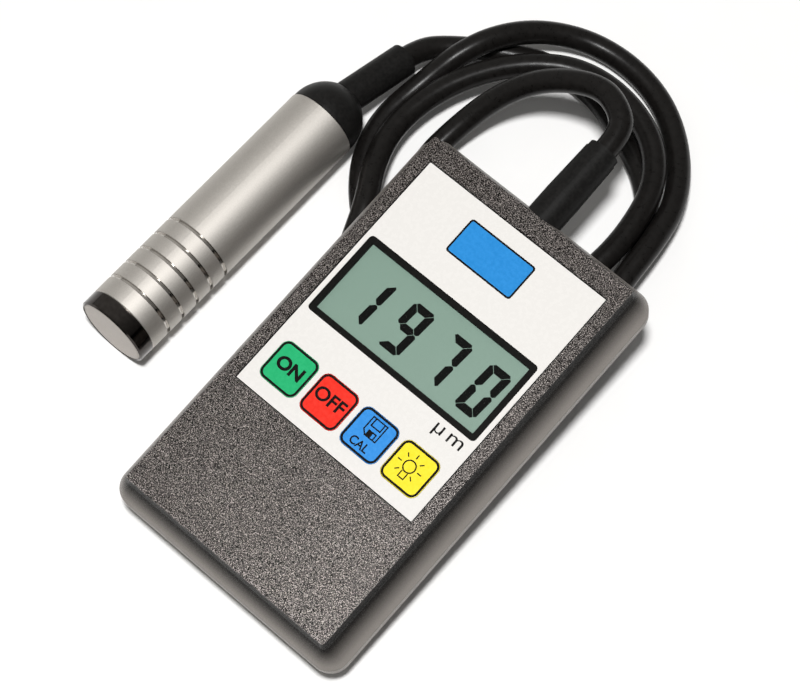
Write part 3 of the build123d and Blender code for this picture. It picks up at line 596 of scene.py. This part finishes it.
def stroke(start, end, width):
    """A straight stroke of a pen between two points."""
    run = Vector(end) - Vector(start)
    side = Vector((-run.y, run.x)).normalized() * width / 2
    tip = run.normalized() * width / 2
    first, last = Vector(start) - tip, Vector(end) + tip
    return [tuple(first - side), tuple(last - side), tuple(last + side), tuple(first + side)]


def strokes(points, width):
    """Strokes along a row of points."""
    return [stroke(a, b, width) for a, b in zip(points, points[1:])]


def band(outer, inner):
    """The band between two outlines of equal count, as four-sided pieces."""
    count = len(outer)
    return [
        [outer[i], outer[(i + 1) % count], inner[(i + 1) % count], inner[i]] for i in range(count)
    ]


print("points of a round-cornered outline:", len(rounded((0, 0), (2, 1), 0.2)))

# %% [markdown]
# An outline becomes a face, and one extrude gives it the thickness of the ink. Every face has to
# look away from the case before that, or the slab would be pushed inwards. Points that two pieces
# of a band share are merged first, so that the band is one closed slab.

# %% Ink slabs
INK = 0.02
MERGE = 1e-7


def finish_print(name, data, ink, body):
    """A print's mesh as an object that rides on its body."""
    data.materials.append(ink)
    piece = bpy.data.objects.new(name, data)
    bpy.context.scene.collection.objects.link(piece)
    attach(piece, body)


def printed(name, shapes, height, ink, body="gauge", thick=INK):
    """Thin slabs with the given outlines, lying at a height on the case."""
    mesh = bmesh.new()
    for shape in shapes:
        face = mesh.faces.new([mesh.verts.new(on_case(x, y, height)) for x, y in shape])
        face.normal_update()
        if face.normal.dot(FACE_NORMAL) < 0:
            face.normal_flip()
    bmesh.ops.remove_doubles(mesh, verts=mesh.verts, dist=MERGE)
    top = bmesh.ops.extrude_face_region(mesh, geom=mesh.faces[:])
    raised = [part for part in top["geom"] if isinstance(part, bmesh.types.BMVert)]
    bmesh.ops.translate(mesh, verts=raised, vec=FACE_NORMAL * thick / 1000)
    bmesh.ops.recalc_face_normals(mesh, faces=mesh.faces)
    data = bpy.data.meshes.new(name)
    mesh.to_mesh(data)
    mesh.free()
    finish_print(name, data, ink, body)


print("ink is", INK, "mm thick")

# %% [markdown]
# Letters could be drawn stroke by stroke, but a text curve has good outlines already. It is made
# a mesh while it still lies flat at the origin. Then its points are stretched to the box that the
# word fills and laid on the case.

# %% Lettering
def lettered(
    name, words, box, height, ink, body="gauge", weight=0.0, spacing=1.0,
):
    """Words fitted into a box on the case, given as left, right, bottom and top."""
    curve = bpy.data.curves.new(name + "_text", "FONT")
    curve.body = words
    curve.size = 1
    curve.offset = weight
    curve.space_character = spacing
    curve.extrude = 0.005
    source = bpy.data.objects.new(name + "_text", curve)
    bpy.context.scene.collection.objects.link(source)
    bpy.context.view_layer.update()
    depsgraph = bpy.context.evaluated_depsgraph_get()
    data = bpy.data.meshes.new_from_object(source.evaluated_get(depsgraph))
    bpy.data.objects.remove(source)
    low = [min(v.co[k] for v in data.vertices) for k in range(3)]
    high = [max(v.co[k] for v in data.vertices) for k in range(3)]
    left, right, bottom, top = box
    for vertex in data.vertices:
        across, up, out = [(vertex.co[k] - low[k]) / (high[k] - low[k]) for k in range(3)]
        vertex.co = on_case(
            left + across * (right - left), bottom + up * (top - bottom), height + out * INK
        )
    data.name = name
    data.materials.clear()
    finish_print(name, data, ink, body)


print("lettering ready")

# %% [markdown]
# ## Label prints
# The label is a white film in a shallow recess of the face. A thin black line along its edge is
# painted shade of the narrow gap between the film and the recess. The film has a blue plate with an
# outline at its top, and the unit under the window. The plate is bare here. Each outline is a band
# between two rectangles, which bend round their corners together.

# %% Label: painted gap shade, plate and unit
RECESS_FLOOR = 21.65
FILM = 0.25
LABEL_TOP = RECESS_FLOOR + FILM
LABEL_MIDDLE = (0, 68.925)
LABEL_SIZE = (51.7, 65.95)
GAP_SHADE_CLEAR = 0.02
GAP_SHADE_INNER = 0.5
PLATE_MIDDLE = (-0.2, 92.75)
PLATE_SIZE = (18.7, 9.6)
PLATE_INNER = 0.9
UNIT_BOX = (15.5, 23.2, 53.8, 56.9)
# The black band round the label is painted shade of the gap at the recess's wall.
gap_shade_outer = rounded(LABEL_MIDDLE, LABEL_SIZE, 0.4, GAP_SHADE_CLEAR)
gap_shade_inner = rounded(LABEL_MIDDLE, LABEL_SIZE, 0.16, GAP_SHADE_INNER)
printed("label_gap_shade", band(gap_shade_outer, gap_shade_inner), LABEL_TOP, print_black)
plate_outline = rounded(PLATE_MIDDLE, PLATE_SIZE, 0.8)
plate_field = rounded(PLATE_MIDDLE, PLATE_SIZE, 0.5, PLATE_INNER)
printed("plate_outline", band(plate_outline, plate_field), LABEL_TOP, print_black)
printed("plate_field", [plate_field], LABEL_TOP, color_prints["plate_blue"])
lettered("unit_print", "µm", UNIT_BOX, LABEL_TOP, print_black, spacing=1.25)
print("label prints lie", round(LABEL_TOP, 2), "mm over the back")

# %% [markdown]
# ## Window
# A black border is printed round the window. Behind it the opening in the shell is lined in black
# down to the glass, which hides the pale edge of the film, and the black of that liner is painted
# shade on the opening's walls. Both are bands with the same inner outline, the border as thin as
# ink and the liner as tall as the opening is deep.

# %% Window border and shade liner
WINDOW_MIDDLE = (0, 69.3)
WINDOW_SIZE = (48.8, 22.1)
OPENING_SIZE = (46.0, 19.3)
OPENING_CLEAR = 0.02
OPENING_INNER = 0.1
GLASS_TOP = 20.8
SHADE_LINER_GAP = 0.01
window_outer = rounded(WINDOW_MIDDLE, WINDOW_SIZE, 1.0)
window_inner = rounded(WINDOW_MIDDLE, OPENING_SIZE, 0.15, OPENING_INNER)
shade_liner_outer = rounded(WINDOW_MIDDLE, OPENING_SIZE, 0.16, OPENING_CLEAR)
printed("window_border", band(window_outer, window_inner), LABEL_TOP, surround_black)
# The liner is black painted shade on the opening's walls, over the pale edge of the film.
printed(
    "window_shade_liner", band(shade_liner_outer, window_inner), GLASS_TOP + SHADE_LINER_GAP, surround_black,
    thick=RECESS_FLOOR - GLASS_TOP - 2 * SHADE_LINER_GAP,
)
print("window:", WINDOW_SIZE, "mm, opening:", OPENING_SIZE, "mm")

# %% [markdown]
# ## Reading
# The display shows four digits of seven segments each, with pointed ends, thin gaps and a slight
# lean. No font has just these segments. Three shapes are drawn round a digit's middle, and the
# other four are their mirror images.

# %% Segments
DIGIT_HALF = 6.45
DIGIT_WIDTH = 6.0
SEGMENT = 1.88
CORNER_CUT = 0.95
GAP = 0.07


def top_segment():
    """The outline of the top segment, round the digit's middle."""
    x, y, w, c, g = DIGIT_WIDTH / 2, DIGIT_HALF, SEGMENT, CORNER_CUT, GAP
    return [
        (-x + c, y), (x - c, y), (x - c / 2 - g, y - c / 2), (x - w - g, y - w),
        (-x + w + g, y - w), (-x + c / 2 + g, y - c / 2),
    ]


def side_segment():
    """The outline of the upper right segment, with its point at the digit's waist."""
    x, y, w, c, g = DIGIT_WIDTH / 2, DIGIT_HALF, SEGMENT, CORNER_CUT, GAP
    return [
        (x, y - c), (x - c / 2, y - c / 2 - g), (x - w, y - w - g), (x - w, w / 2 + g),
        (x - w / 2, g), (x - c / 2, g), (x, c / 2 + g),
    ]


def waist_segment():
    """The outline of the middle segment."""
    x, w, g = DIGIT_WIDTH / 2, SEGMENT, GAP
    return [
        (-x + w / 2 + g, 0), (-x + w + g, w / 2), (x - w - g, w / 2), (x - w / 2 - g, 0),
        (x - w - g, -w / 2), (-x + w + g, -w / 2),
    ]


def flipped(shape, across=False, over=False):
    """An outline mirrored sideways or top to bottom."""
    return [(x * (-1 if across else 1), y * (-1 if over else 1)) for x, y in shape]


segment_of = {
    "a": top_segment(), "d": flipped(top_segment(), over=True), "g": waist_segment(),
    "b": side_segment(), "c": flipped(side_segment(), over=True),
    "f": flipped(side_segment(), across=True), "e": flipped(side_segment(), across=True, over=True),
}
print("segments of a digit:", sorted(segment_of))

# %% [markdown]
# The lit segments of all four digits lie on top of the display cell, in one print. A lean shifts
# each point sideways by its height.

# %% Digits
LEAN = 0.06
DIGIT_Y = 68.65
DIGITS = (("1", -15.24), ("9", -4.11), ("7", 7.02), ("0", 18.15))
SEGMENTS_OF = {"1": "bc", "9": "abcdfg", "7": "abc", "0": "abcdef"}
reading = [
    [(middle + x + LEAN * y, DIGIT_Y + y) for x, y in segment_of[letter]]
    for digit, middle in DIGITS for letter in SEGMENTS_OF[digit]
]
printed("display_reading", reading, GLASS_TOP, digit_ink)
print("lit segments:", len(reading))

# %% [markdown]
# ## Key marks
# Each key has a black outline and its mark: a word, a disk with a short word, or a lamp with
# rays. They are printed on the keys, so each rides on the body of its own key and goes down with
# it.

# %% Key outlines
KEY_RISE = 0.35
KEY_TOP = RECESS_FLOOR + KEY_RISE
KEY_Y = 44.95
KEY_OUTER = (10.16, 10.16)
KEY_INNER = (9.05, 9.05)
KEYS = {
    "on": (-17.7, "key_green"), "off": (-5.9, "key_red"),
    "calibrate": (5.9, "key_blue"), "light": (17.7, "key_yellow"),
}
for name, (x, color) in KEYS.items():
    outline = band(rounded((x, KEY_Y), KEY_OUTER, 1.83), rounded((x, KEY_Y), KEY_INNER, 1.28))
    printed(f"{name}_outline", outline, KEY_TOP, print_black, f"{name}_key")
print("outlines on", len(KEYS), "keys")

# %% [markdown]
# The words fill boxes that were measured on the keys. The font is a little thin for them, so an
# offset of the curve makes their strokes bolder, each by its own weight.

# %% Key words
KEY_WORDS = (
    ("on_word", "ON", (-21.2, -14.3, 43.6, 46.9), "on_key", "key_green", 0.04),
    ("off_word", "OFF", (-10.0, -2.0, 43.8, 47.1), "off_key", "key_red", 0.022),
    ("cal_word", "CAL", (3.0, 7.9, 41.0, 43.1), "calibrate_key", "key_blue", 0.02),
)
for name, words, box, body, slot, weight in KEY_WORDS:
    lettered(name, words, box, KEY_TOP, print_black, body, weight)
print("words:", [words for _, words, *_ in KEY_WORDS])

# %% [markdown]
# The disk stands for keeping a value. Its casing, its slider and its label are rows of pen
# strokes, and a small filled field is the slider's slot. Strokes cross at their ends, where two
# faces in one plane would flicker, so each stroke is a print of its own and lies a hair higher
# than the one before.

# %% Disk mark
LINE = 0.32
STACK = 0.001
DISK_CASING = [(3.9, 48.8), (7.9, 48.8), (7.9, 44.4), (4.9, 44.4), (3.9, 45.4), (3.9, 48.8)]
DISK_LABEL = [(4.7, 48.8), (4.7, 46.9), (7.2, 46.9), (7.2, 48.8)]
DISK_SLIDER = [(5.1, 44.4), (5.1, 45.8), (7.1, 45.8), (7.1, 44.4)]
DISK_SLOT = [(5.2, 44.5), (6.3, 44.5), (6.3, 45.7), (5.2, 45.7)]


def drawn(name, shapes, body):
    """Strokes on a key, each one a print of its own."""
    for index, shape in enumerate(shapes):
        printed(f"{name}_{index}", [shape], KEY_TOP + STACK * index, print_black, body)


disk = [line for row in (DISK_CASING, DISK_LABEL, DISK_SLIDER) for line in strokes(row, LINE)]
disk.append(DISK_SLOT)
drawn("disk_mark", disk, "calibrate_key")
print("disk strokes:", len(disk))

# %% [markdown]
# The lamp turns on the light behind the display. Its bulb is a band between two circles. The foot
# is a row of three strokes, and seven rays stand round the bulb at every eighth of a turn, apart
# from the one where the foot is.

# %% Lamp mark
LAMP = (17.3, 45.2)
LAMP_RADIUS = 1.62
THIN_LINE = LINE * 0.9
FOOT_SIDE = 0.75
FOOT_DEPTH = 1.5
RAY_GAP = 0.75
RAY_LENGTH = 0.8
RAYS = (0, 45, 90, 135, 180, 225, 315)
bulb = band(circle(LAMP, LAMP_RADIUS), circle(LAMP, LAMP_RADIUS - LINE))
printed("lamp_bulb", bulb, KEY_TOP, print_black, "light_key")
left, right = LAMP[0] - FOOT_SIDE, LAMP[0] + FOOT_SIDE
foot_top = LAMP[1] - LAMP_RADIUS
foot_end = foot_top - FOOT_DEPTH
lamp = strokes([(left, foot_top), (left, foot_end), (right, foot_end), (right, foot_top)], THIN_LINE)
for ray in RAYS:
    way = Vector((cos(radians(ray)), sin(radians(ray))))
    start = Vector(LAMP) + way * (LAMP_RADIUS + RAY_GAP)
    lamp.append(stroke(tuple(start), tuple(start + way * RAY_LENGTH), THIN_LINE))
drawn("lamp_mark", lamp, "light_key")
print("lamp strokes:", len(lamp))

# %% [markdown]
# ## Floor
# The gauge lies on a plain white sheet. The sheet is a material that takes the object's shadows,
# with a small share of white glow in what the camera, gloss and glass see, so that it comes out
# white without more light on the object. Light Path tells those rays apart, and a Mix Shader adds
# the glow.

# %% Floor
FLOOR_HALF = 3
GLOW_SHARE = 0.03
GLOW_COLOR = (1, 1, 0.995, 1)
floor_mesh = bmesh.new()
bmesh.ops.create_grid(floor_mesh, x_segments=2, y_segments=2, size=FLOOR_HALF)
floor_data = bpy.data.meshes.new("floor")
floor_mesh.to_mesh(floor_data)
floor_mesh.free()
floor = bpy.data.objects.new("floor", floor_data)
bpy.context.scene.collection.objects.link(floor)
floor_white = surface(
    "floor_white", (0.93, 0.925, 0.915), (0.95, 0.945, 0.935), (0.8, 0.9), 40, 0.00001
)
dull(0.1, floor_white)


def add_glow(material):
    """Mix a white glow into what the camera, gloss and glass see of a material."""
    tree = material.node_tree
    shader = tree.nodes["Principled BSDF"]
    glow = add_node(tree, "ShaderNodeEmission", {"Color": GLOW_COLOR})
    rays = add_node(tree, "ShaderNodeLightPath")
    seen = add_node(tree, "ShaderNodeMath", operation="ADD", use_clamp=True)
    also = add_node(tree, "ShaderNodeMath", operation="ADD", use_clamp=True)
    part = add_node(tree, "ShaderNodeMath", {1: GLOW_SHARE}, operation="MULTIPLY")
    mix = add_node(tree, "ShaderNodeMixShader")
    link = tree.links.new
    link(rays.outputs["Is Camera Ray"], seen.inputs[0])
    link(rays.outputs["Is Glossy Ray"], seen.inputs[1])
    link(seen.outputs[0], also.inputs[0])
    link(rays.outputs["Is Transmission Ray"], also.inputs[1])
    link(also.outputs[0], part.inputs[0])
    link(part.outputs[0], mix.inputs["Fac"])
    link(shader.outputs["BSDF"], mix.inputs[1])
    link(glow.outputs["Emission"], mix.inputs[2])
    link(mix.outputs["Shader"], tree.nodes["Material Output"].inputs["Surface"])


add_glow(floor_white)
floor_data.materials.append(floor_white)
print("floor:", 2 * FLOOR_HALF, "m wide")

# %% [markdown]
# ## Key light
# The shadows beside the case and the probe are narrow and a little soft. A sun would make them
# hard, and a wide softbox would wash them out. A small round lamp high over the object, a little
# towards the viewer, gives their width and their edge.

# %% Key lamp
LAMP_PLACE = (0.12, -0.18, 1.2)
LAMP_SIZE = 0.16
LAMP_POWER = 14.6
lamp_data = bpy.data.lights.new("key_lamp", "AREA")
lamp_data.shape = "DISK"
lamp_data.size = LAMP_SIZE
lamp_data.energy = LAMP_POWER
key_lamp = bpy.data.objects.new("key_lamp", lamp_data)
lamp_turn = (-Vector(LAMP_PLACE)).to_track_quat("-Z", "Y").to_matrix().to_4x4()
key_lamp.matrix_world = Matrix.Translation(LAMP_PLACE) @ lamp_turn
bpy.context.scene.collection.objects.link(key_lamp)
print("key lamp:", LAMP_POWER, "W at", LAMP_PLACE)

# %% [markdown]
# ## The room
# The metal tube shows the room as bands: pale from overhead and from the left, dark from the
# right. A room could be built from panels, but one ramp over the direction of the sky gives the
# same bands. Diffuse surfaces get less of it, so that the lamp's shadows stay, and the camera
# sees plain white.

# %% World
PALE_SIDE = (-0.56, 0.0, 0.56)
SIDE_RANGE = {"From Min": -0.4, "From Max": 0.75}
ROOM_STEPS = (
    (0.0, (0.07, 0.069, 0.067)), (0.45, (0.22, 0.217, 0.21)), (1.0, (0.56, 0.55, 0.53)),
)
FULL_STRENGTH = 1.0
DIFFUSE_STRENGTH = 0.42
world = bpy.data.worlds.new("studio")
bpy.context.scene.world = world
world.use_nodes = True
sky = world.node_tree
background = sky.nodes["Background"]
rays = add_node(sky, "ShaderNodeLightPath")
strength_range = {"To Min": FULL_STRENGTH, "To Max": DIFFUSE_STRENGTH}
strength = add_node(sky, "ShaderNodeMapRange", strength_range)
direction = add_node(sky, "ShaderNodeTexCoord")
towards_pale = add_node(sky, "ShaderNodeVectorMath", {1: PALE_SIDE}, operation="DOT_PRODUCT")
spread = add_node(sky, "ShaderNodeMapRange", SIDE_RANGE)
shade = tone_ramp(sky, ROOM_STEPS)
seen_white = add_node(sky, "ShaderNodeMix", data_type="RGBA")
seen_white.inputs["B"].default_value = (1, 1, 1, 1)
sky_link = sky.links.new
sky_link(rays.outputs["Is Diffuse Ray"], strength.inputs["Value"])
sky_link(strength.outputs["Result"], background.inputs["Strength"])
sky_link(direction.outputs["Generated"], towards_pale.inputs[0])
sky_link(towards_pale.outputs["Value"], spread.inputs["Value"])
sky_link(spread.outputs["Result"], shade.inputs["Fac"])
sky_link(rays.outputs["Is Camera Ray"], seen_white.inputs["Factor"])
sky_link(shade.outputs["Color"], seen_white.inputs["A"])
sky_link(seen_white.outputs["Result"], background.inputs["Color"])
bpy.context.scene.view_settings.view_transform = "Standard"
print("world:", world.name, "with", len(sky.nodes), "nodes")
